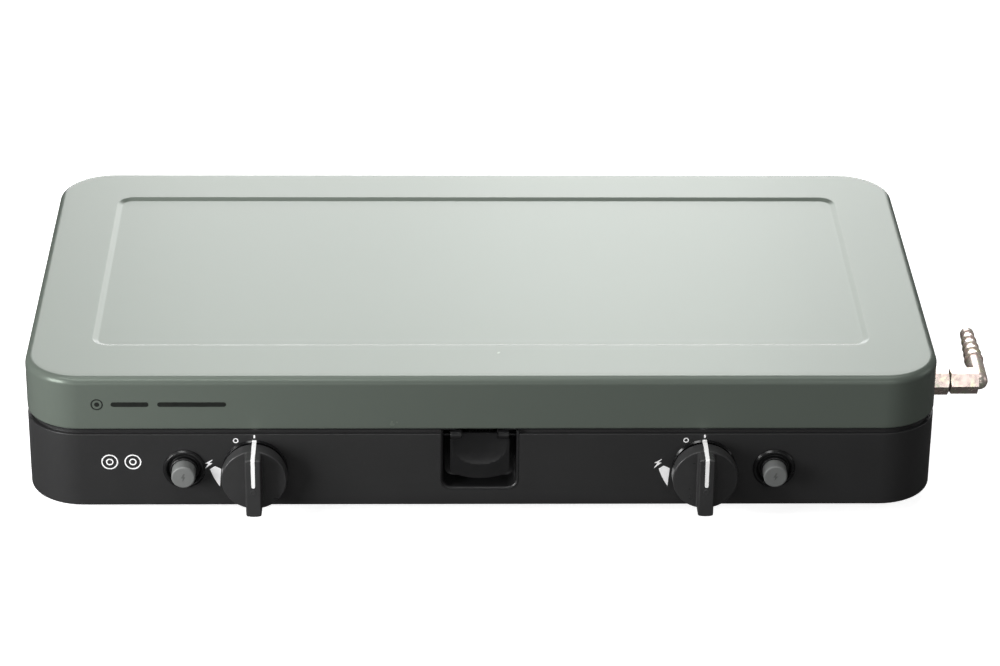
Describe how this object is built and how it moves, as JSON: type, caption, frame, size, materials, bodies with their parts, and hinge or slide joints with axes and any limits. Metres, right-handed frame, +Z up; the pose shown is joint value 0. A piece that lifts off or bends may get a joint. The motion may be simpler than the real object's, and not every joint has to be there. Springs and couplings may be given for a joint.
{
  "type": "camping stove",
  "caption": "Portable gas hob in a flat steel case: hinged lid closed, front rotary knobs, igniter buttons, a paddle latch and an elbow hose tail at the side.",
  "frame": {"origin": "on the ground under the middle of the whole stove's outline, knobs and hose tail included", "axes": "+X to the right seen from the front, +Y to the back, +Z up"},
  "size_m": [0.5818, 0.321, 0.0932],
  "materials": {
    "lid_paint": "satin grey-green powder coat",
    "base_paint": "satin black powder coat",
    "hob_enamel": "gloss black enamel",
    "zinc_steel": "bright zinc",
    "spring_steel": "drawn wire",
    "brass": "machined",
    "cast_alloy": "die cast",
    "yellow_zinc": "yellow passivated zinc",
    "black_plastic": "satin moulded",
    "grey_plastic": "satin moulded",
    "black_rubber": "matt",
    "lead_sleeve": "silicone sleeve",
    "ceramic": "glazed ceramic"
  },
  "bodies": {
    "base": {"base_pan": "base_paint", "hob_plate": "hob_enamel", "deck_posts": "zinc_steel", "rubber_feet": "black_rubber", "foot_screws": "zinc_steel", "hob_screws": "zinc_steel", "latch_housing": "black_plastic", "latch_pin": "zinc_steel", "base_hinge_leaves": "base_paint", "hinge_pins": "zinc_steel", "base_hinge_rivets": "zinc_steel", "manifold_pipe": "zinc_steel", "manifold_clips": "zinc_steel", "left_valve_body": "brass", "right_valve_body": "brass", "left_valve_bonnet": "brass", "right_valve_bonnet": "brass", "bonnet_screws": "zinc_steel", "left_injector": "brass", "right_injector": "brass", "left_mixing_tube": "cast_alloy", "right_mixing_tube": "cast_alloy", "left_burner_body": "cast_alloy", "right_burner_body": "cast_alloy", "left_burner_cap": "hob_enamel", "right_burner_cap": "hob_enamel", "burner_screws": "zinc_steel", "left_electrode": "ceramic", "right_electrode": "ceramic", "electrode_tips": "zinc_steel", "left_ignition_lead": "lead_sleeve", "right_ignition_lead": "lead_sleeve", "left_igniter_body": "black_plastic", "right_igniter_body": "black_plastic", "igniter_nuts": "black_plastic", "knob_bezels": "black_plastic", "inlet_connector": "yellow_zinc", "inlet_lock_nut": "yellow_zinc", "inlet_seal": "black_rubber"},
    "lid": {"lid_shell": "lid_paint", "lid_catch": "zinc_steel", "lid_hinge_leaves": "base_paint", "lid_hinge_rivets": "zinc_steel"},
    "latch": {"latch_paddle": "black_plastic", "latch_spring": "spring_steel"},
    "left_plug": {"left_valve_plug": "brass"},
    "right_plug": {"right_valve_plug": "brass"},
    "left_knob_set": {"left_knob": "black_plastic", "left_spindle": "zinc_steel", "left_valve_spring": "spring_steel"},
    "right_knob_set": {"right_knob": "black_plastic", "right_spindle": "zinc_steel", "right_valve_spring": "spring_steel"},
    "left_button": {"left_igniter_button": "grey_plastic", "left_button_spring": "spring_steel"},
    "right_button": {"right_igniter_button": "grey_plastic", "right_button_spring": "spring_steel"},
    "left_grid": {"left_pan_support": "hob_enamel"},
    "right_grid": {"right_pan_support": "hob_enamel"},
    "elbow": {"hose_elbow": "yellow_zinc"}
  },
  "joints": [
    {"name": "lid_hinge", "type": "hinge", "parent": "base", "child": "lid", "pos_m": [-0.02294, 0.15715, 0.0595], "axis": [-1, 0, 0], "range_deg": [0, 105], "deforming": ["lid_catch"]},
    {"name": "latch_pivot", "type": "hinge", "parent": "base", "child": "latch", "pos_m": [-0.02454, -0.13065, 0.054], "axis": [-1, 0, 0], "range_deg": [0, 20], "stiffness_Nm_per_rad": 0.03, "springref_deg": -20.05, "deforming": ["latch_spring"]},
    {"name": "left_knob_turn", "type": "hinge", "parent": "base", "child": "left_plug", "pos_m": [-0.15613, -0.12835, 0.034], "axis": [0, -1, 0], "range_deg": [0, 125]},
    {"name": "left_knob_push", "type": "slide", "parent": "left_plug", "child": "left_knob_set", "axis": [0, 1, 0], "range_m": [0, 0.0025], "stiffness_N_per_m": 900, "springref_m": -0.003, "deforming": ["left_valve_spring"]},
    {"name": "left_igniter_press", "type": "slide", "parent": "base", "child": "left_button", "axis": [0, 1, 0], "range_m": [0, 0.0055], "stiffness_N_per_m": 500, "springref_m": -0.004, "deforming": ["left_button_spring"]},
    {"name": "left_pan_support_lift", "type": "slide", "parent": "base", "child": "left_grid", "axis": [0, 0, 1], "range_m": [0, 0.008]},
    {"name": "right_knob_turn", "type": "hinge", "parent": "base", "child": "right_plug", "pos_m": [0.10706, -0.12835, 0.034], "axis": [0, -1, 0], "range_deg": [0, 125]},
    {"name": "right_knob_push", "type": "slide", "parent": "right_plug", "child": "right_knob_set", "axis": [0, 1, 0], "range_m": [0, 0.0025], "stiffness_N_per_m": 900, "springref_m": -0.003, "deforming": ["right_valve_spring"]},
    {"name": "right_igniter_press", "type": "slide", "parent": "base", "child": "right_button", "axis": [0, 1, 0], "range_m": [0, 0.0055], "stiffness_N_per_m": 500, "springref_m": -0.004, "deforming": ["right_button_spring"]},
    {"name": "right_pan_support_lift", "type": "slide", "parent": "base", "child": "right_grid", "axis": [0, 0, 1], "range_m": [0, 0.008]},
    {"name": "hose_elbow_swivel", "type": "hinge", "parent": "base", "child": "elbow", "pos_m": [0.27006, -0.02935, 0.0357], "axis": [1, 0, 0], "range_deg": [-20, 170]}
  ]
}
